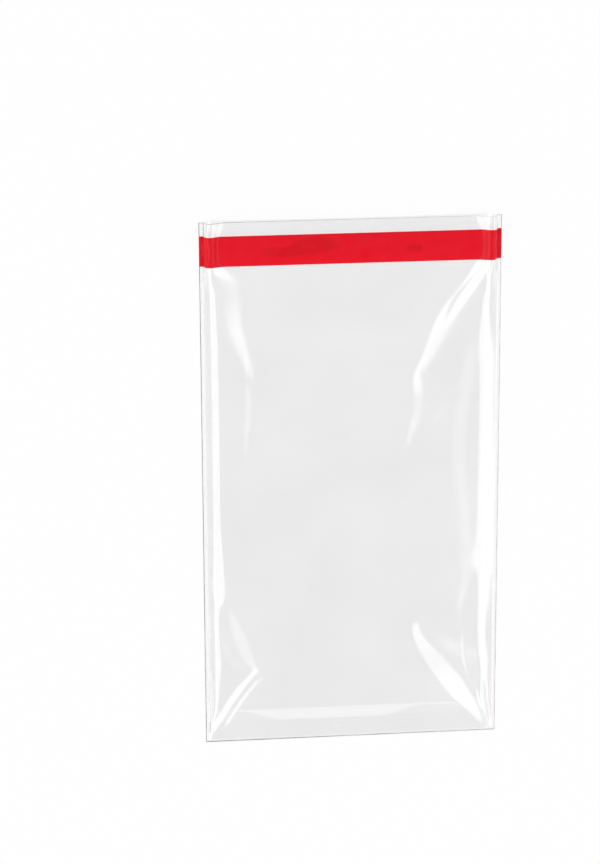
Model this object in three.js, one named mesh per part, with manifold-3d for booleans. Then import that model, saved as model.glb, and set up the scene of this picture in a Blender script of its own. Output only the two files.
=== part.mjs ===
// Clear cellophane bag, lying on its back with a little air in it.
// One film is folded at the bottom and welded along both sides, and its mouth stands slightly open.
// A peel-and-seal strip, a line of adhesive under a red liner, runs across the front below the mouth.
// Millimetres, +Z up, +Y towards the mouth, origin on the ground under the middle of the bag.
import * as THREE from "three";
import { mergeVertices } from "three/addons/utils/BufferGeometryUtils.js";
import Module from "manifold-3d";

// Driving dimensions
const FLAT_WIDTH = 100; // of the empty bag pressed flat
const FLAT_LENGTH = 180; // from the bottom fold to the mouth
const FILM_THICKNESS = 0.05;
const SIDE_WELD_WIDTH = 1.2; // where the two webs are one band
const FOLD_WIDTH = 0.4; // the pressed crease at the bottom
const BODY_DEPTH = 6; // outside, over the trapped air
const MOUTH_DEPTH = 5.2; // outside, at the mouth and under the strip
const ROLL_RUN = 6.5; // from a weld or the fold to where a web is level
const SHOULDER_LENGTH = 34; // from the body's depth to the mouth's
const HEADER_LENGTH = 4.5; // clear film between the strip and the mouth
const LINER_WIDTH = 10;
const LINER_THICKNESS = 0.08;
const ADHESIVE_WIDTH = 6; // the liner's edges stay dry, to be picked up
const ADHESIVE_THICKNESS = 0.06;
const LAYER_GAP = 0.02; // between film, adhesive and liner
const NIP_GAP = 0.02; // half the gap where the webs part at a weld

// Steps of the curves
const ROLL_STEPS = 6;
const SHOULDER_STEPS = 6;
const MOUTH_OVERRUN = 1; // the hollow's tool passes the mouth by this

const FILM_COLOUR = 0xe8ecec;
const LINER_COLOUR = 0xe81021;
const ADHESIVE_COLOUR = 0xf2efe4;

const bodyHalfGap = BODY_DEPTH / 2 - FILM_THICKNESS;
const mouthHalfGap = MOUTH_DEPTH / 2 - FILM_THICKNESS;

// A web leaves the weld steeply and levels out.
const rollShare = (share) => Math.sin((THREE.MathUtils.clamp(share, 0, 1) * Math.PI) / 2);
const stepsTo = (count) => Array.from({ length: count + 1 }, (_, i) => i / count);

// The curved edge takes up film, so the filled bag is narrower and shorter than the flat one.
function takeUpOfRoll() {
  const path = stepsTo(ROLL_STEPS).map(
    (share) => new THREE.Vector2(share * ROLL_RUN, bodyHalfGap * rollShare(share)),
  );
  const lengths = path.slice(1).map((point, i) => point.distanceTo(path[i]));
  return lengths.reduce((sum, length) => sum + length, 0) - ROLL_RUN;
}

const halfWidth = FLAT_WIDTH / 2 - takeUpOfRoll();
const length = FLAT_LENGTH - takeUpOfRoll();
const foldY = -length / 2;
const mouthY = length / 2;
const hollowHalfWidth = halfWidth - SIDE_WELD_WIDTH;
const hollowFoldY = foldY + FOLD_WIDTH;
const linerTopY = mouthY - HEADER_LENGTH;
const linerBottomY = linerTopY - LINER_WIDTH;
const shoulderY = linerBottomY - SHOULDER_LENGTH;

// Half the gap between the webs, away from the edges
function halfGap(y) {
  const share = THREE.MathUtils.smoothstep(y, shoulderY, linerBottomY);
  return THREE.MathUtils.lerp(bodyHalfGap, mouthHalfGap, share);
}

// The welds stand at half the bag's depth, so that the back web lies on the ground.
const weldHeight = (y) => halfGap(y) + FILM_THICKNESS;

// How far each web stands off the plane of the welds
function rise(x, y) {
  const fromSide = (hollowHalfWidth - Math.abs(x)) / ROLL_RUN;
  const fromFold = (y - hollowFoldY) / ROLL_RUN;
  return halfGap(y) * rollShare(Math.min(fromSide, fromFold));
}

const frontOutside = (x, y) => weldHeight(y) + rise(x, y) + FILM_THICKNESS;
const backOutside = (x, y) => weldHeight(y) - rise(x, y) - FILM_THICKNESS;
const frontInside = (x, y) => weldHeight(y) + Math.max(rise(x, y), NIP_GAP);
const backInside = (x, y) => weldHeight(y) - Math.max(rise(x, y), NIP_GAP);
const aboveFront = (height) => (x, y) => frontOutside(x, y) + height;

// Grid lines: close together on the rolls and the shoulder, single steps on the flats
const rollColumns = stepsTo(ROLL_STEPS).map((share) => hollowHalfWidth - share * ROLL_RUN);
const hollowColumns = [...rollColumns.map((x) => -x), 0, ...rollColumns.toReversed()];
const filmColumns = [-halfWidth, ...hollowColumns, halfWidth];
const rollRows = stepsTo(ROLL_STEPS).map((share) => hollowFoldY + share * ROLL_RUN);
const shoulderRows = stepsTo(SHOULDER_STEPS).map((share) => shoulderY + share * SHOULDER_LENGTH);
const bodyRows = [...rollRows, 0, ...shoulderRows];
const filmRows = [foldY, ...bodyRows, mouthY];
const hollowRows = [...bodyRows, mouthY + MOUTH_OVERRUN];

// A closed slab on a grid of columns and rows, between two surfaces of height
function slabBetween(columns, rows, bottom, top) {
  const across = columns.length - 1;
  const along = rows.length - 1;
  const slab = new THREE.BoxGeometry(across, along, 1, across, along, 1);
  slab.deleteAttribute("normal");
  slab.deleteAttribute("uv");
  const corners = slab.getAttribute("position");
  for (let i = 0; i < corners.count; i++) {
    const x = columns[Math.round(corners.getX(i) + across / 2)];
    const y = rows[Math.round(corners.getY(i) + along / 2)];
    const surface = corners.getZ(i) > 0 ? top : bottom;
    corners.setXYZ(i, x, y, surface(x, y));
  }
  return mergeVertices(slab);
}

const wasm = await Module();
wasm.setup();

function solidFrom(geometry) {
  const vertProperties = new Float32Array(geometry.getAttribute("position").array);
  const triVerts = new Uint32Array(geometry.index.array);
  return new wasm.Manifold(new wasm.Mesh({ numProp: 3, vertProperties, triVerts }));
}

function geometryFrom(solid) {
  const mesh = solid.getMesh();
  const geometry = new THREE.BufferGeometry();
  geometry.setAttribute("position", new THREE.BufferAttribute(mesh.vertProperties, mesh.numProp));
  geometry.setIndex(new THREE.BufferAttribute(mesh.triVerts, 1));
  return geometry;
}

// The film: the outside shape, less the hollow that opens at the mouth
function filmGeometry() {
  const outside = solidFrom(slabBetween(filmColumns, filmRows, backOutside, frontOutside));
  const hollow = solidFrom(slabBetween(hollowColumns, hollowRows, backInside, frontInside));
  return geometryFrom(outside.subtract(hollow));
}

// The adhesive lies along the middle of the liner, from edge to edge of the bag.
function adhesiveGeometry() {
  const middleY = (linerTopY + linerBottomY) / 2;
  const rows = [middleY - ADHESIVE_WIDTH / 2, middleY + ADHESIVE_WIDTH / 2];
  const bottom = LAYER_GAP;
  return slabBetween(filmColumns, rows, aboveFront(bottom), aboveFront(bottom + ADHESIVE_THICKNESS));
}

function linerGeometry() {
  const rows = [linerBottomY, linerTopY];
  const bottom = LAYER_GAP + ADHESIVE_THICKNESS + LAYER_GAP;
  return slabBetween(filmColumns, rows, aboveFront(bottom), aboveFront(bottom + LINER_THICKNESS));
}

function piece(name, geometry, look) {
  geometry.computeVertexNormals();
  const mesh = new THREE.Mesh(geometry, new THREE.MeshStandardMaterial(look));
  mesh.name = name;
  return mesh;
}

const clearFilm = { color: FILM_COLOUR, roughness: 0.05, metalness: 0, transparent: true, opacity: 0.25 };
const redLiner = { color: LINER_COLOUR, roughness: 0.2, metalness: 0 };
const clearAdhesive = { color: ADHESIVE_COLOUR, roughness: 0.35, metalness: 0, transparent: true, opacity: 0.5 };

const bag = new THREE.Group();
bag.add(piece("film_bag", filmGeometry(), clearFilm));
bag.add(piece("adhesive_line", adhesiveGeometry(), clearAdhesive));
bag.add(piece("red_liner", linerGeometry(), redLiner));

export default bag;
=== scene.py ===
import math

import bpy
import numpy as np
from mathutils import Matrix, Vector

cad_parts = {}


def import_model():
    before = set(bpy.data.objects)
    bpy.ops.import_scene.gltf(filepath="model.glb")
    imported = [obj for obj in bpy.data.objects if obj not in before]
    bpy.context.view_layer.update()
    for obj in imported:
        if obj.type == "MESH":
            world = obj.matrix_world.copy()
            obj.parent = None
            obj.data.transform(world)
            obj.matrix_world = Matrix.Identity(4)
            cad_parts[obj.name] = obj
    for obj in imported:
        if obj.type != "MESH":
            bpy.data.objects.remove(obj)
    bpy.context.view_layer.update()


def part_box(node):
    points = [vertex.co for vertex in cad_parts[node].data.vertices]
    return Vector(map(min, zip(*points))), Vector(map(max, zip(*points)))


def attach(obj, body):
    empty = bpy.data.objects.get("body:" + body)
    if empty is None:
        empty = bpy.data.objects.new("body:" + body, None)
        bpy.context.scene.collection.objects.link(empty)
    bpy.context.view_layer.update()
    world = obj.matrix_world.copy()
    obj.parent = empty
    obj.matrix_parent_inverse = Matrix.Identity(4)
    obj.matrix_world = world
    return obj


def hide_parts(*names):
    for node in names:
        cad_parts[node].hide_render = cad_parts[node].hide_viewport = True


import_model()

# A clear film bag lying on its back, with a red sealing liner across its front.
# The shapes are worked out in millimetres, x across, y towards the mouth, and become metres in the meshes.
MM = 0.001
TOLERANCE = 1e-6
CURVE_SAMPLES = 120

# Sizes that the frame gives
film_low, film_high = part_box("film_bag")
liner_low, liner_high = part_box("red_liner")
adhesive_low, adhesive_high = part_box("adhesive_line")
HALF_WIDTH = film_high.x / MM
MOUTH_Y = film_high.y / MM
FOLD_Y = film_low.y / MM
BODY_DEPTH = film_high.z / MM
LINER_Y = (liner_low.y / MM, liner_high.y / MM)
ADHESIVE_Y = (adhesive_low.y / MM, adhesive_high.y / MM)

# Film
FILM = 0.05
BEAD_RADIUS = 0.14  # of the thick edge that welding and folding leave
BEAD_STEPS = 4  # across a bead
LIP = 0.1  # half the width of the cut edge at the mouth
LIP_STEPS = 2
SIDE_WELD = 1.2
FOLD_WIDTH = 0.5
HOLLOW = HALF_WIDTH - SIDE_WELD
MOUTH_DEPTH = 5.2
SHOULDER_LENGTH = 34
SHOULDER_Y = (LINER_Y[0] - SHOULDER_LENGTH, LINER_Y[0])
SHARP_ANGLE = math.radians(65)  # edges over this stay crisp
BODY_HALF = BODY_DEPTH / 2 - FILM
MOUTH_HALF = MOUTH_DEPTH / 2 - FILM

# How far from each side weld the front web is level again, at places along the bag
LEFT_RUN = [(-89, 1.6), (-80, 2.2), (-70, 3.4), (-60, 4.3), (-42, 3.9), (-37, 6.4), (-25, 5.6), (-12, 4.7),
            (50, 4.6), (66, 4.2), (72, 2.4), (76, 1.5), (81, 2.1), (85, 1.4), (90, 1.7)]
RIGHT_RUN = [(-89, 1.6), (-76, 2.4), (-61, 6.6), (-33, 6.4), (-28, 8.6), (-20, 7.2), (38, 6.8), (52, 6.6),
             (60, 6.0), (69, 3.8), (74, 2.2), (77, 1.5), (80, 2.0), (84, 1.4), (90, 1.7)]
BACK_LEFT_RUN = 3.2
BACK_RIGHT_RUN = 3.6
BACK_BOTTOM_RUN = 10.5

# The front web leaves the bottom fold in one slope, with a gentler band across the middle
SLOPE_LENGTH = 11.5
BAND_WIDTH = 4.4
BAND_RISE = 0.29  # share of the height that the band gains
BAND_LEFT = (-38, -24)  # from where the band starts to where it is full
BAND_RIGHT = (26, 10)
THINNEST_BAND = 0.02
SLOPE_BENDS = (0.03, 0.02)
BAND_BENDS = (0.1, 0.1)

# The web hangs between the side rolls towards the mouth: its depth, and the foot and top of each flank
SAG = [(16, 0), (24, 0.08), (30, 0.3), (36, 0.6), (41, 0.88), (47, 1.16), (54, 1.42), (62, 1.5),
       (74, 1.45), (77, 1.2), (84, 1.3), (90, 1.9)]
SAG_LEFT_FOOT = [(14, -33), (22, -32.5), (30, -31.6), (36, -31.2), (41, -31.8), (47, -33.4), (54, -35),
                 (61, -35.4), (67, -35.2), (71, -37), (74.5, -41.4), (77, -43.2), (84, -43.2), (87, -42),
                 (90, -41.6)]
SAG_LEFT_TOP = [(14, -37.5), (22, -36.6), (30, -35.2), (36, -34.8), (41, -36), (47, -38.4), (54, -41),
                (62, -43), (69, -44.2), (75, -44.8), (90, -45)]
SAG_RIGHT_FOOT = [(14, 17.5), (22, 18.5), (30, 19.3), (36, 19.8), (40, 21.3), (43.5, 22.6), (50, 25),
                  (57, 28.2), (62.5, 32.3), (67, 36), (71, 39), (74, 40.6), (77, 43), (84, 43),
                  (87, 41.6), (90, 41)]
SAG_RIGHT_TOP = [(14, 22), (22, 23), (30, 24.4), (36, 24.4), (40, 26), (45, 29.2), (50, 32.2), (56, 35.2),
                 (61, 37.4), (67, 41), (71.5, 43.6), (76, 44.8), (85, 44.8), (90, 44.4)]
SAG_TOP_BEND = [(44, 0.6), (68, 0.42), (78, 0.12)]
SAG_LEFT_FOOT_BEND = 0.15
SAG_RIGHT_FOOT_BEND = 0.06
SAG_RIGHT_TOP_SHARE = 0.8  # how rounded the right-hand top is, against the left-hand one
BACK_SAG = 1.7
BACK_SAG_Y = (44, 88)

# The dent above the lower right corner: its depth, and the edge and foot of the crease that leads into it
DENT = [(-89, 1.2), (-84.5, 1.6), (-80, 1.6), (-75, 1.65), (-69, 1.6), (-63, 1.4), (-56, 1.0), (-50, 0.62),
        (-44, 0.32), (-38, 0.1), (-32, 0)]
DENT_EDGE = [(-89, 45.2), (-84.5, 42), (-80, 38), (-75, 33), (-69, 28.5), (-63, 24.5), (-56, 21.2),
             (-52, 20.4), (-47, 19.8), (-32, 20)]
DENT_FOOT = [(-89, 46.5), (-84.5, 45), (-80, 43.2), (-74, 40), (-68, 36), (-62.5, 32.4), (-57.5, 27.5),
             (-54, 24.4), (-51, 23), (-48.5, 24), (-44, 28), (-32, 32)]
DENT_RETURN = 22  # over which the web comes up again
DENT_BENDS = (0.06, 0.08)

# Folds and grooves: x, y and height along each
LOWER_LEFT_FOLD = [(-30.6, -64.5, 0.2), (-33, -66.5, 0.52), (-37, -71, 0.62), (-41, -77, 0.66),
                   (-44, -82.5, 1.0), (-46, -86.5, 1.0)]
UPPER_RIGHT_GROOVE = [(31.5, 56, -0.04), (34.5, 61.5, -0.3), (38.8, 67, -0.36), (42.4, 71.6, -0.3),
                      (45, 75, -0.05)]
LOWER_RIGHT_FAN = [(47, -88.5, 0.05), (45.6, -84, 0.28), (44, -78, 0.3), (43, -73, 0.05)]
# Each fold's line, and the widths of its top and of each flank
FOLDS = [(LOWER_LEFT_FOLD, 1.3, 1.7), (UPPER_RIGHT_GROOVE, 0.3, 1.3), (LOWER_RIGHT_FAN, 0.3, 0.7)]
FOLD_BEND = 0.1

# Facets: x, y and width along each
LEFT_TAIL = [(-35.6, 4, 0.3), (-36.2, 13, 2.4), (-36, 22, 3.2), (-35.6, 30, 3.2), (-35, 37, 0.4)]
RIGHT_TAIL = [(17.4, 8, 0.3), (17.8, 17, 3.0), (18.8, 22, 4.2), (20, 28, 5.2), (20, 33, 4.4), (21, 39, 0.3)]
LOWER_LEFT_FACET = [(-40.8, -38, 0.3), (-39.2, -42, 3.2), (-35.6, -50, 5.2), (-32.6, -58, 5.4),
                    (-31.5, -64, 1.8)]
LOWER_RIGHT_FACET = [(41.5, -36, 0.2), (40, -41, 1.2), (38.2, -50, 1.3), (37.9, -57, 1.3), (38.6, -63, 1.3),
                     (40.5, -71, 1.0), (43, -77, 0.3)]
# Each facet's line, its slope in degrees at places along the bag, and the width over which it levels out
FACETS = [(LEFT_TAIL, [(20, 9.4), (33, 5.5)], 16), (RIGHT_TAIL, [(20, -7.9), (31, -4.8)], 8),
          (LOWER_LEFT_FACET, [(-64, 6.6), (-38, 6.6)], 6), (LOWER_RIGHT_FACET, [(-77, 7.6), (-36, 7.6)], 3.5)]
FACET_BENDS = (0.1, 0.2)
NARROWEST = 0.02

# How far the front web eases down before the right-hand roll, where that starts, and over what width
RIGHT_EASE = [(-62, 0), (-34, 0.86), (42, 0.86), (62, 0)]
RIGHT_EASE_START = [(-62, 33), (-44, 34), (-25, 35), (-5, 33.4), (12, 32), (40, 35), (62, 38)]
RIGHT_EASE_WIDTH = 6.5
RIGHT_EASE_BENDS = (0.3, 0.2)

# Studio: strengths of the lights
PANEL_LIGHT = 2.6
FRONT_LIGHT = 1.1
BACK_LIGHT = 0.4
HORIZON_LIGHT = 0.35
ROOM_LIGHT = 0.14
FLOOR_GLOW = 0.92  # share of the floor's white that no shadow dims
# Edges of the lights in the sky's directions, each from dark to full
PANEL_Y = [(-0.99, -0.90), (0.45, 0.30)]
RIGHT_PANEL_X = [(0.29, 0.50), (0.88, 0.80)]
LEFT_PANEL_X = [(-0.045, -0.19), (-0.88, -0.80)]
FRONT_Y = [(-0.48, -0.55), (-0.745, -0.70)]
FRONT_X = [(-0.04, 0.02), (0.26, 0.20)]
BACK_Y = [(-0.17, -0.09), (0.2, 0.1)]
HORIZON_Z = [(0.45, 0.05)]

# Floor, in metres, just under the bag
FLOOR_HALF = 3.0
FLOOR_DROP = 0.0002

# Camera, as in the photograph, with its place in metres
CAMERA_PLACE = (-0.1133, 0.3013, 0.9416)
CAMERA_FORWARD = (0.0979, -0.2871, -0.9529)
CAMERA_UP = (0.0343, 0.9579, -0.2851)
CAMERA_LENS = 125.0
CAMERA_SENSOR = 36.0

# Strip
LAYER_GAP = 0.02
ADHESIVE = 0.06
LINER = 0.08
# Darker patches where the adhesive grips: the middle, and half the width and height, of each
LINER_BLOTCHES = [((-12, 81.4), (12, 4.4)), ((-22, 79.6), (10, 2.6)), ((20.5, 79.4), (4, 1.8))]

# Colours: a plain one for each material, and the two that its noise varies between
FILM_COLOUR = (0.985, 0.985, 0.985)
FILM_COLOURS = ((0.966, 0.965, 0.966), (0.992, 0.99, 0.991))
FILM_ROUGHNESS = (0.03, 0.075)
# Weld edges and the mouth's rim: a darker brownish grey, painted shade for how dark a film edge looks when
# seen edge-on
WELD_SHADE_COLOUR = (0.66, 0.6, 0.59)
WELD_SHADE_COLOURS = ((0.36, 0.31, 0.3), (0.74, 0.68, 0.67))
WELD_SHADOW = (0.95, 0.95, 0.95)
WELD_SIDE_SHADE = (-0.3, 0.12)  # painted shade and painted light: how much darker the left-hand weld is painted, and how much paler the right-hand one
LINER_COLOUR = (0.77, 0.0012, 0.0135)
LINER_COLOURS = ((0.7, 0.0008, 0.012), (0.6, 0.0005, 0.007))
LINER_ROUGHNESS = (0.3, 0.42)
LINER_BUMP = 0.00003  # metres
ADHESIVE_COLOUR = (0.9, 0.87, 0.8)
ADHESIVE_COLOURS = ((0.82, 0.78, 0.7), (0.93, 0.91, 0.86))
FLOOR_COLOUR = (0.9, 0.9, 0.9)
FLOOR_COLOURS = ((0.93, 0.93, 0.93), (0.94, 0.94, 0.94))
FLOOR_WHITE = (0.99, 0.99, 0.99)


def smooth(low, high, value):
    share = np.clip((value - low) / (high - low), 0, 1)
    return share * share * (3 - 2 * share)


def ramp(share, start_bend, end_bend):
    """A ramp from 0 to 1 between shares 0 and 1, with its two bends rounded."""
    start = np.sqrt(share ** 2 + start_bend ** 2)
    end = np.sqrt((share - 1) ** 2 + end_bend ** 2)
    return (start - end + 1) / 2


def eased(stops, value):
    """A size that eases from one listed stop to the next."""
    places, sizes = np.array(stops, float).T
    i = np.clip(np.searchsorted(places, value) - 1, 0, len(places) - 2)
    return sizes[i] + (sizes[i + 1] - sizes[i]) * smooth(places[i], places[i + 1], value)


def curve_through(points):
    """A smooth line through a few given points, as samples."""
    points = np.array(points, float)
    ends = np.vstack([2 * points[0] - points[1], points, 2 * points[-1] - points[-2]])
    samples = []
    for i in range(len(points) - 1):
        a, b, c, d = ends[i:i + 4]
        for t in np.linspace(0, 1, CURVE_SAMPLES // (len(points) - 1), endpoint=False):
            samples.append(
                0.5 * (2 * b + (c - a) * t + (2 * a - 5 * b + 4 * c - d) * t ** 2
                       + (3 * b - a - 3 * c + d) * t ** 3))
    samples.append(points[-1])
    return np.array(samples)


def through(stops, value):
    """A size or border that passes smoothly through listed stops."""
    line = curve_through(stops)
    return np.interp(value, line[:, 0], line[:, 1])


def beside(x, y, points):
    """For each place, its distance to a line's right-hand side, and the line's third value there."""
    line = curve_through(points)
    tangent = np.gradient(line[:, :2], axis=0)
    tangent /= np.linalg.norm(tangent, axis=1, keepdims=True)
    dx = x.ravel()[:, None] - line[:, 0]
    dy = y.ravel()[:, None] - line[:, 1]
    near = np.argmin(dx * dx + dy * dy, axis=1)
    rows = np.arange(near.size)
    dx, dy = dx[rows, near], dy[rows, near]
    side = dx * tangent[near, 1] - dy * tangent[near, 0]
    across = np.where(side < 0, -1, 1) * np.hypot(dx, dy)
    return across.reshape(x.shape), line[near, 2].reshape(x.shape)


def facet(x, y, points, slope, reach):
    """A flat slope on the right-hand side of a line. The film makes the drop up again over the reach."""
    across, width = beside(x, y, points)
    width = np.maximum(width, NARROWEST)
    drop = np.tan(np.radians(slope)) * width
    back = 1 - smooth(0, reach, across - width)
    return -drop * ramp(across / width, *FACET_BENDS) * back


def fold(x, y, points, top, flank):
    """A flat-topped fold along a line."""
    across, height = beside(x, y, points)
    up = ramp((across + top / 2 + flank) / flank, FOLD_BEND, FOLD_BEND)
    down = ramp((across - top / 2) / flank, FOLD_BEND, FOLD_BEND)
    return height * (up - down)


def roll(distance, run):
    """How a web leaves a weld: steep at first, level after the run."""
    return np.sin(np.clip(distance / run, 0, 1) * math.pi / 2)


def half_gap(y):
    """Half the gap between the webs, away from the edges."""
    return BODY_HALF + (MOUTH_HALF - BODY_HALF) * smooth(*SHOULDER_Y, y)


def weld_height(y):
    return half_gap(y) + FILM


def from_fold(y):
    return np.maximum(y - FOLD_Y - FOLD_WIDTH, 0)


def bottom_share(x, y):
    """How the front web leaves the bottom fold: one slope, then a gentler band across the middle."""
    band = smooth(*BAND_LEFT, x) * smooth(*BAND_RIGHT, x)
    wide = BAND_WIDTH * np.maximum(band, THINNEST_BAND)
    first = SLOPE_LENGTH - wide
    distance = from_fold(y)
    slope = ramp(distance / first, *SLOPE_BENDS)
    gentle = ramp((distance - first) / wide, *BAND_BENDS)
    return (1 - BAND_RISE * band) * slope + BAND_RISE * band * gentle


def mouth_sag(x, y):
    """How far the front web hangs between the side rolls towards the mouth."""
    left_foot = through(SAG_LEFT_FOOT, y)
    right_foot = through(SAG_RIGHT_FOOT, y)
    left_share = (left_foot - x) / (left_foot - through(SAG_LEFT_TOP, y))
    right_share = (x - right_foot) / (through(SAG_RIGHT_TOP, y) - right_foot)
    bend = eased(SAG_TOP_BEND, y)
    left = ramp(left_share, SAG_LEFT_FOOT_BEND, bend)
    right = ramp(right_share, SAG_RIGHT_FOOT_BEND, SAG_RIGHT_TOP_SHARE * bend)
    return through(SAG, y) * (1 - left) * (1 - right)


def side_dent(x, y):
    """How far the front web falls away beyond the crease into the lower right corner."""
    edge = through(DENT_EDGE, y)
    foot = through(DENT_FOOT, y)
    back = 1 - smooth(0, DENT_RETURN, x - foot)
    return through(DENT, y) * ramp((x - edge) / (foot - edge), *DENT_BENDS) * back


def front_creases(x, y):
    """The smaller folds and facets of the front web, and how it eases down before the right-hand roll."""
    ease_share = (x - through(RIGHT_EASE_START, y)) / RIGHT_EASE_WIDTH
    total = -eased(RIGHT_EASE, y) * ramp(ease_share, *RIGHT_EASE_BENDS)
    for points, top, flank in FOLDS:
        total = total + fold(x, y, points, top, flank)
    for points, slope, reach in FACETS:
        total = total + facet(x, y, points, eased(slope, y), reach)
    return total


def front_rise(x, y):
    """How far the front web stands off the plane of the welds."""
    left = roll(x + HOLLOW, eased(LEFT_RUN, y))
    right = roll(HOLLOW - x, eased(RIGHT_RUN, y))
    share = np.minimum(np.minimum(left, right), bottom_share(x, y))
    level = half_gap(y) - mouth_sag(x, y) - side_dent(x, y) + front_creases(x, y)
    return np.maximum(level * share, 0)


def back_rise(x, y):
    """How far the back web stands off the plane of the welds, the other way."""
    left = roll(x + HOLLOW, BACK_LEFT_RUN)
    right = roll(HOLLOW - x, BACK_RIGHT_RUN)
    bottom = roll(from_fold(y), BACK_BOTTOM_RUN)
    level = half_gap(y) - BACK_SAG * smooth(*BACK_SAG_Y, y) * (1 - (x / HALF_WIDTH) ** 2)
    return level * np.minimum(np.minimum(left, right), bottom)


def grid_lines(stops):
    """Lines between stops. Each stop says where a stretch ends and how far apart its lines are."""
    lines = [stops[0][0]]
    for (start, _), (end, spacing) in zip(stops, stops[1:]):
        count = max(1, round((end - start) / spacing))
        lines += list(np.linspace(start, end, count + 1)[1:])
    return np.array(lines)


def film_columns():
    bead = HALF_WIDTH - 2 * BEAD_RADIUS
    step = 2 * BEAD_RADIUS / BEAD_STEPS
    return grid_lines([
        (-HALF_WIDTH, 0), (-bead, step), (-HOLLOW, 0.3), (-41, 0.38), (-30, 0.6), (17, 2.7),
        (41, 0.6), (HOLLOW, 0.38), (bead, 0.3), (HALF_WIDTH, step)])


def film_rows():
    step = 2 * BEAD_RADIUS / BEAD_STEPS
    return grid_lines([
        (FOLD_Y, 0), (FOLD_Y + 2 * BEAD_RADIUS, step), (FOLD_Y + FOLD_WIDTH, 0.3), (-77, 0.5),
        (-44, 0.66), (14, 2.6), (70, 0.8), (LINER_Y[0], 0.6), (ADHESIVE_Y[0], 0.8), (ADHESIVE_Y[1], 1.0),
        (LINER_Y[1], 0.8), (MOUTH_Y - 2 * LIP, 0.5), (MOUTH_Y, 2 * LIP / LIP_STEPS)])


def film_layers(x, y):
    """Heights of the four skins of the film: front outside and inside, back inside and outside."""
    middle = weld_height(y)
    front = front_rise(x, y)
    back = np.minimum(back_rise(x, y), middle - FILM)
    edge = np.minimum(HALF_WIDTH - np.abs(x), y - FOLD_Y)
    bead = np.sqrt(np.clip(edge * (2 * BEAD_RADIUS - edge), 0, None))
    thick = np.maximum(FILM, bead)
    return middle + front + thick, middle + front, middle - back, middle - back - thick


def new_object(name, points, faces, materials, face_slots=None):
    mesh = bpy.data.meshes.new(name)
    mesh.from_pydata([tuple(point) for point in points], [], faces)
    for material in materials:
        mesh.materials.append(material)
    if face_slots is not None:
        mesh.polygons.foreach_set("material_index", face_slots)
    mesh.polygons.foreach_set("use_smooth", [True] * len(mesh.polygons))
    mesh.update()
    mesh.set_sharp_from_angle(angle=SHARP_ANGLE)
    piece = bpy.data.objects.new(name, mesh)
    bpy.context.scene.collection.objects.link(piece)
    return piece


def film_bag(film, bead):
    """One closed shell: both webs with their insides, joined at the welds, the fold and the mouth's rim."""
    columns, rows = film_columns(), film_rows()
    x, y = np.meshgrid(columns, rows, indexing="ij")
    skins = film_layers(x, y)
    wide, long = x.shape
    first = int(np.argmin(np.abs(columns + HOLLOW)))
    last = int(np.argmin(np.abs(columns - HOLLOW)))
    fold = int(np.argmin(np.abs(rows - FOLD_Y - FOLD_WIDTH)))

    points, numbers = [], []
    for skin in range(4):
        number = -np.ones(x.shape, int)
        for i in range(wide):
            for j in range(long):
                inside = first <= i <= last and j >= fold
                nip = inside and (i in (first, last) or j == fold)
                if skin in (1, 2) and not inside:
                    continue
                if skin == 2 and nip:
                    number[i, j] = numbers[1][i, j]
                    continue
                number[i, j] = len(points)
                points.append((x[i, j] * MM, y[i, j] * MM, skins[skin][i, j] * MM))
        numbers.append(number)
    front_out, front_in, back_in, back_out = numbers

    faces, slots = [], []
    # The edge slot gets the darker weld-edge colour: painted shade along the welds, the fold and the mouth's
    # rim
    web_slot, edge_slot = 0, 1

    def add(slot, *corners):
        faces.append(corners)
        slots.append(slot)

    for i in range(wide - 1):
        for j in range(long - 1):
            on_bead = min(i, wide - 2 - i, j) < BEAD_STEPS
            on_lip = j >= long - 1 - LIP_STEPS
            slot = edge_slot if on_bead else web_slot
            front_slot = edge_slot if on_lip else slot
            add(front_slot, front_out[i, j], front_out[i + 1, j],
                front_out[i + 1, j + 1], front_out[i, j + 1])
            add(slot, back_out[i, j], back_out[i, j + 1], back_out[i + 1, j + 1], back_out[i + 1, j])
            if first <= i < last and j >= fold:
                add(web_slot, front_in[i, j], front_in[i, j + 1], front_in[i + 1, j + 1], front_in[i + 1, j])
                add(web_slot, back_in[i, j], back_in[i + 1, j], back_in[i + 1, j + 1], back_in[i, j + 1])
    for j in range(long - 1):
        add(edge_slot, front_out[0, j], front_out[0, j + 1], back_out[0, j + 1], back_out[0, j])
        add(edge_slot, front_out[-1, j + 1], front_out[-1, j], back_out[-1, j], back_out[-1, j + 1])
    for i in range(wide - 1):
        add(edge_slot, front_out[i + 1, 0], front_out[i, 0], back_out[i, 0], back_out[i + 1, 0])
        if first <= i < last:
            add(edge_slot, front_out[i, -1], front_out[i + 1, -1], front_in[i + 1, -1], front_in[i, -1])
            add(edge_slot, back_in[i, -1], back_in[i + 1, -1], back_out[i + 1, -1], back_out[i, -1])
        elif i == first - 1:
            add(edge_slot, front_out[i, -1], front_out[i + 1, -1], front_in[i + 1, -1],
                back_out[i + 1, -1], back_out[i, -1])
        elif i == last:
            add(edge_slot, front_out[i, -1], front_out[i + 1, -1], back_out[i + 1, -1],
                back_out[i, -1], front_in[i, -1])
        else:
            add(edge_slot, front_out[i, -1], front_out[i + 1, -1], back_out[i + 1, -1], back_out[i, -1])
    return new_object("film", points, faces, [film, bead], slots)


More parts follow.
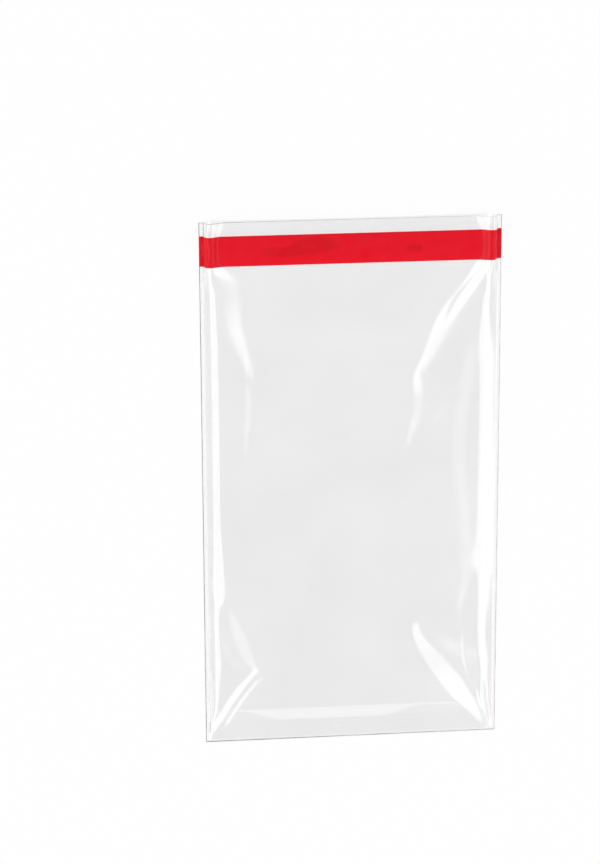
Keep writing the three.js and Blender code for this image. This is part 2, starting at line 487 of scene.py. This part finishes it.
def band(name, y_range, bottom, thickness, material):
    """A thin strip that follows the front of the film from side to side."""
    columns = film_columns()
    rows = film_rows()
    rows = rows[(rows > y_range[0] - TOLERANCE) & (rows < y_range[1] + TOLERANCE)]
    x, y = np.meshgrid(columns, rows, indexing="ij")
    low = film_layers(x, y)[0] + bottom
    wide, long = x.shape
    skins = []
    points = []
    for z in (low, low + thickness):
        skins.append(np.arange(x.size).reshape(x.shape) + len(points))
        points += list(np.stack([x, y, z], -1).reshape(-1, 3) * MM)
    under, over = skins
    faces = []
    for i in range(wide - 1):
        for j in range(long - 1):
            faces.append((over[i, j], over[i + 1, j], over[i + 1, j + 1], over[i, j + 1]))
            faces.append((under[i, j], under[i, j + 1], under[i + 1, j + 1], under[i + 1, j]))
        faces.append((under[i, 0], under[i + 1, 0], over[i + 1, 0], over[i, 0]))
        faces.append((under[i + 1, -1], under[i, -1], over[i, -1], over[i + 1, -1]))
    for j in range(long - 1):
        faces.append((under[0, j + 1], under[0, j], over[0, j], over[0, j + 1]))
        faces.append((under[-1, j], under[-1, j + 1], over[-1, j + 1], over[-1, j]))
    return new_object(name, points, faces, [material])


class Nodes:
    """The node tree of a material or a world, with short calls to add and join nodes."""

    def __init__(self, material):
        material.use_nodes = True
        self.tree = material.node_tree
        self.tree.nodes.clear()

    def add(self, kind, **settings):
        node = self.tree.nodes.new(kind)
        for name, value in settings.items():
            setattr(node, name, value)
        return node

    def join(self, output, input):
        self.tree.links.new(output, input)

    def shader(self, colour, roughness, **values):
        """A shader with a plain colour and roughness, which nodes joined to it later may vary."""
        shader = self.add("ShaderNodeBsdfPrincipled")
        shader.inputs["Base Color"].default_value = (*colour, 1)
        shader.inputs["Roughness"].default_value = roughness
        for name, value in values.items():
            shader.inputs[name.replace("_", " ")].default_value = value
        return shader

    def noise(self, scale, detail=3.0):
        noise = self.add("ShaderNodeTexNoise")
        noise.inputs["Scale"].default_value = scale
        noise.inputs["Detail"].default_value = detail
        self.join(self.add("ShaderNodeTexCoord").outputs["Object"], noise.inputs["Vector"])
        return noise.outputs["Fac"]

    def blotches(self, scale, places):
        """Ragged round patches, each with a middle and half its width and height, over a faint noise."""
        faint, finer, full = 0.3, 14, 0.6
        total = self.combine("MULTIPLY", self.noise(scale, 2.0), faint)
        for middle, reach in places:
            mapping = self.add("ShaderNodeMapping", vector_type="TEXTURE")
            mapping.inputs["Location"].default_value = (middle[0] * MM, middle[1] * MM, 0)
            mapping.inputs["Scale"].default_value = (reach[0] * MM, reach[1] * MM, 1)
            self.join(self.add("ShaderNodeTexCoord").outputs["Object"], mapping.inputs["Vector"])
            ball = self.add("ShaderNodeTexGradient", gradient_type="SPHERICAL")
            self.join(mapping.outputs["Vector"], ball.inputs["Vector"])
            patch = self.step(ball.outputs["Fac"], 0.0, full)
            ragged = self.combine("MULTIPLY", self.noise(scale * finer, 4.0), patch)
            total = self.combine("ADD", total, ragged)
        return total

    def spread(self, value, low, high, start=0.3, end=0.7):
        spread = self.add("ShaderNodeMapRange")
        spread.inputs["From Min"].default_value = start
        spread.inputs["From Max"].default_value = end
        spread.inputs["To Min"].default_value = low
        spread.inputs["To Max"].default_value = high
        self.join(value, spread.inputs["Value"])
        return spread.outputs["Result"]

    def colours(self, value, low, high, start=0.3, end=0.7):
        ramp = self.add("ShaderNodeValToRGB")
        ramp.color_ramp.elements[0].position = start
        ramp.color_ramp.elements[0].color = (*low, 1)
        ramp.color_ramp.elements[1].position = end
        ramp.color_ramp.elements[1].color = (*high, 1)
        self.join(value, ramp.inputs["Fac"])
        return ramp.outputs["Color"]

    def bump(self, height, distance):
        bump = self.add("ShaderNodeBump")
        bump.inputs["Strength"].default_value = 1.0
        bump.inputs["Distance"].default_value = distance
        self.join(height, bump.inputs["Height"])
        return bump.outputs["Normal"]

    def show(self, shader):
        self.join(shader, self.add("ShaderNodeOutputMaterial").inputs["Surface"])

    def show_clear(self, shader, lamp_colour):
        """Glass that lets lamp light straight through, so that it casts a light shadow."""
        path = self.add("ShaderNodeLightPath")
        for ray in ("Is Diffuse Ray", "Is Shadow Ray"):
            clear = self.add("ShaderNodeBsdfTransparent")
            clear.inputs["Color"].default_value = (*lamp_colour, 1)
            mix = self.add("ShaderNodeMixShader")
            self.join(path.outputs[ray], mix.inputs["Fac"])
            self.join(shader, mix.inputs[1])
            self.join(clear.outputs["BSDF"], mix.inputs[2])
            shader = mix.outputs["Shader"]
        self.show(shader)

    def step(self, value, start, end):
        """0 before the start, 1 beyond the end, eased between."""
        step = self.add("ShaderNodeMapRange", interpolation_type="SMOOTHSTEP")
        step.inputs["From Min"].default_value = start
        step.inputs["From Max"].default_value = end
        self.join(value, step.inputs["Value"])
        return step.outputs["Result"]

    def between(self, value, edges):
        """1 inside a light's edges, 0 outside them, eased across each."""
        return self.combine("MULTIPLY", *[self.step(value, *edge) for edge in edges])

    def combine(self, operation, first, *others):
        """Values joined by one operation after another. A plain number may be one of the others."""
        total = first
        for other in others:
            node = self.add("ShaderNodeMath", operation=operation)
            self.join(total, node.inputs[0])
            if isinstance(other, float):
                node.inputs[1].default_value = other
            else:
                self.join(other, node.inputs[1])
            total = node.outputs[0]
        return total


def film_material():
    material = bpy.data.materials.new("clear_film")
    nodes = Nodes(material)
    shader = nodes.shader(FILM_COLOUR, 0.05, Transmission_Weight=1.0, IOR=1.49)
    nodes.join(nodes.spread(nodes.noise(60), *FILM_ROUGHNESS), shader.inputs["Roughness"])
    clouds = nodes.combine("MULTIPLY", nodes.noise(35), 0.5)
    grain = nodes.combine("MULTIPLY", nodes.noise(1300, 2.0), 0.5)
    tint = nodes.colours(nodes.combine("ADD", clouds, grain), *FILM_COLOURS, 0.35, 0.65)
    nodes.join(tint, shader.inputs["Base Color"])
    nodes.show_clear(shader.outputs["BSDF"], FILM_COLOUR)
    return material


def bead_material():
    material = bpy.data.materials.new("weld_edge")
    nodes = Nodes(material)
    # A darker colour than the film: painted shade along the welds, the fold and the mouth's rim
    shader = nodes.shader(WELD_SHADE_COLOUR, 0.35, Transmission_Weight=0.5, IOR=1.49)
    axes = nodes.add("ShaderNodeSeparateXYZ")
    nodes.join(nodes.add("ShaderNodeTexCoord").outputs["Object"], axes.inputs[0])
    # Painted shade on the left-hand weld and painted light on the right-hand one, eased across the bag
    side_shade = nodes.spread(axes.outputs["X"], *WELD_SIDE_SHADE, -HOLLOW * MM, HOLLOW * MM)
    shade = nodes.combine("ADD", nodes.noise(220), side_shade)
    nodes.join(nodes.colours(shade, *WELD_SHADE_COLOURS, 0.1, 0.75), shader.inputs["Base Color"])
    nodes.show_clear(shader.outputs["BSDF"], WELD_SHADOW)
    return material


def liner_material():
    material = bpy.data.materials.new("red_liner")
    nodes = Nodes(material)
    shader = nodes.shader(LINER_COLOUR, 0.35, IOR=1.5, Specular_IOR_Level=0.2)
    patches = nodes.blotches(28, LINER_BLOTCHES)
    nodes.join(nodes.colours(patches, *LINER_COLOURS, 0.28, 0.65), shader.inputs["Base Color"])
    nodes.join(nodes.spread(nodes.noise(300), *LINER_ROUGHNESS), shader.inputs["Roughness"])
    nodes.join(nodes.bump(nodes.noise(900, 2.0), LINER_BUMP), shader.inputs["Normal"])
    nodes.show(shader.outputs["BSDF"])
    return material


def adhesive_material():
    material = bpy.data.materials.new("adhesive")
    nodes = Nodes(material)
    shader = nodes.shader(ADHESIVE_COLOUR, 0.35, Transmission_Weight=0.6, IOR=1.47)
    nodes.join(nodes.colours(nodes.noise(400), *ADHESIVE_COLOURS), shader.inputs["Base Color"])
    nodes.show(shader.outputs["BSDF"])
    return material


def floor_material():
    material = bpy.data.materials.new("pale_floor")
    nodes = Nodes(material)
    lit = nodes.shader(FLOOR_COLOUR, 0.9)
    nodes.join(nodes.colours(nodes.noise(3), *FLOOR_COLOURS), lit.inputs["Base Color"])
    glow = nodes.add("ShaderNodeEmission")
    glow.inputs["Color"].default_value = (*FLOOR_WHITE, 1)
    path = nodes.add("ShaderNodeLightPath")
    rays = [path.outputs[ray] for ray in ("Is Camera Ray", "Is Transmission Ray", "Is Glossy Ray")]
    share = nodes.combine("MULTIPLY", nodes.combine("MAXIMUM", *rays), FLOOR_GLOW)
    mix = nodes.add("ShaderNodeMixShader")
    nodes.join(share, mix.inputs["Fac"])
    nodes.join(lit.outputs["BSDF"], mix.inputs[1])
    nodes.join(glow.outputs["Emission"], mix.inputs[2])
    nodes.show(mix.outputs["Shader"])
    return material


def floor():
    half, z = FLOOR_HALF, -FLOOR_DROP
    points = [(-half, -half, z), (half, -half, z), (half, half, z), (-half, half, z)]
    new_object("floor", points, [(0, 1, 2, 3)], [floor_material()])


def world():
    """A dim room with a large soft panel on each side, faint ones before and behind, and a horizon."""
    sky = bpy.data.worlds.new("studio")
    bpy.context.scene.world = sky
    nodes = Nodes(sky)
    axes = nodes.add("ShaderNodeSeparateXYZ")
    nodes.join(nodes.add("ShaderNodeTexCoord").outputs["Generated"], axes.inputs[0])
    across, along, up = axes.outputs["X"], axes.outputs["Y"], axes.outputs["Z"]
    depth = nodes.between(along, PANEL_Y)
    lights = [
        nodes.combine("MULTIPLY", nodes.between(across, RIGHT_PANEL_X), depth, PANEL_LIGHT),
        nodes.combine("MULTIPLY", nodes.between(across, LEFT_PANEL_X), depth, PANEL_LIGHT),
        nodes.combine("MULTIPLY", nodes.between(along, FRONT_Y), nodes.between(across, FRONT_X), FRONT_LIGHT),
        nodes.combine("MULTIPLY", nodes.between(along, BACK_Y), BACK_LIGHT),
        nodes.combine("MULTIPLY", nodes.between(up, HORIZON_Z), HORIZON_LIGHT),
    ]
    glow = nodes.add("ShaderNodeBackground")
    nodes.join(nodes.combine("ADD", *lights, ROOM_LIGHT), glow.inputs["Strength"])
    white = nodes.add("ShaderNodeBackground")
    white.inputs["Color"].default_value = (1, 1, 1, 1)
    mix = nodes.add("ShaderNodeMixShader")
    nodes.join(nodes.add("ShaderNodeLightPath").outputs["Is Camera Ray"], mix.inputs["Fac"])
    nodes.join(glow.outputs["Background"], mix.inputs[1])
    nodes.join(white.outputs["Background"], mix.inputs[2])
    nodes.join(mix.outputs["Shader"], nodes.add("ShaderNodeOutputWorld").inputs["Surface"])


def camera():
    data = bpy.data.cameras.new("camera")
    data.sensor_width = CAMERA_SENSOR
    data.lens = CAMERA_LENS
    forward = Vector(CAMERA_FORWARD).normalized()
    right = forward.cross(Vector(CAMERA_UP)).normalized()
    up = right.cross(forward)
    turn = Matrix((right, up, -forward)).transposed().to_4x4()
    viewer = bpy.data.objects.new("camera", data)
    viewer.matrix_world = Matrix.Translation(CAMERA_PLACE) @ turn
    bpy.context.scene.collection.objects.link(viewer)
    bpy.context.scene.camera = viewer


def studio():
    floor()
    world()
    camera()


film = film_bag(film_material(), bead_material())
adhesive = band("adhesive", ADHESIVE_Y, LAYER_GAP, ADHESIVE, adhesive_material())
liner = band("liner", LINER_Y, ADHESIVE + 2 * LAYER_GAP, LINER, liner_material())
for piece, node, slot in ((film, "film_bag", "clear_film"), (adhesive, "adhesive_line", "adhesive"),
                          (liner, "red_liner", "red_liner")):
    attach(piece, "root")
    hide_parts(node)
studio()

bpy.context.scene.view_settings.view_transform = "Standard"
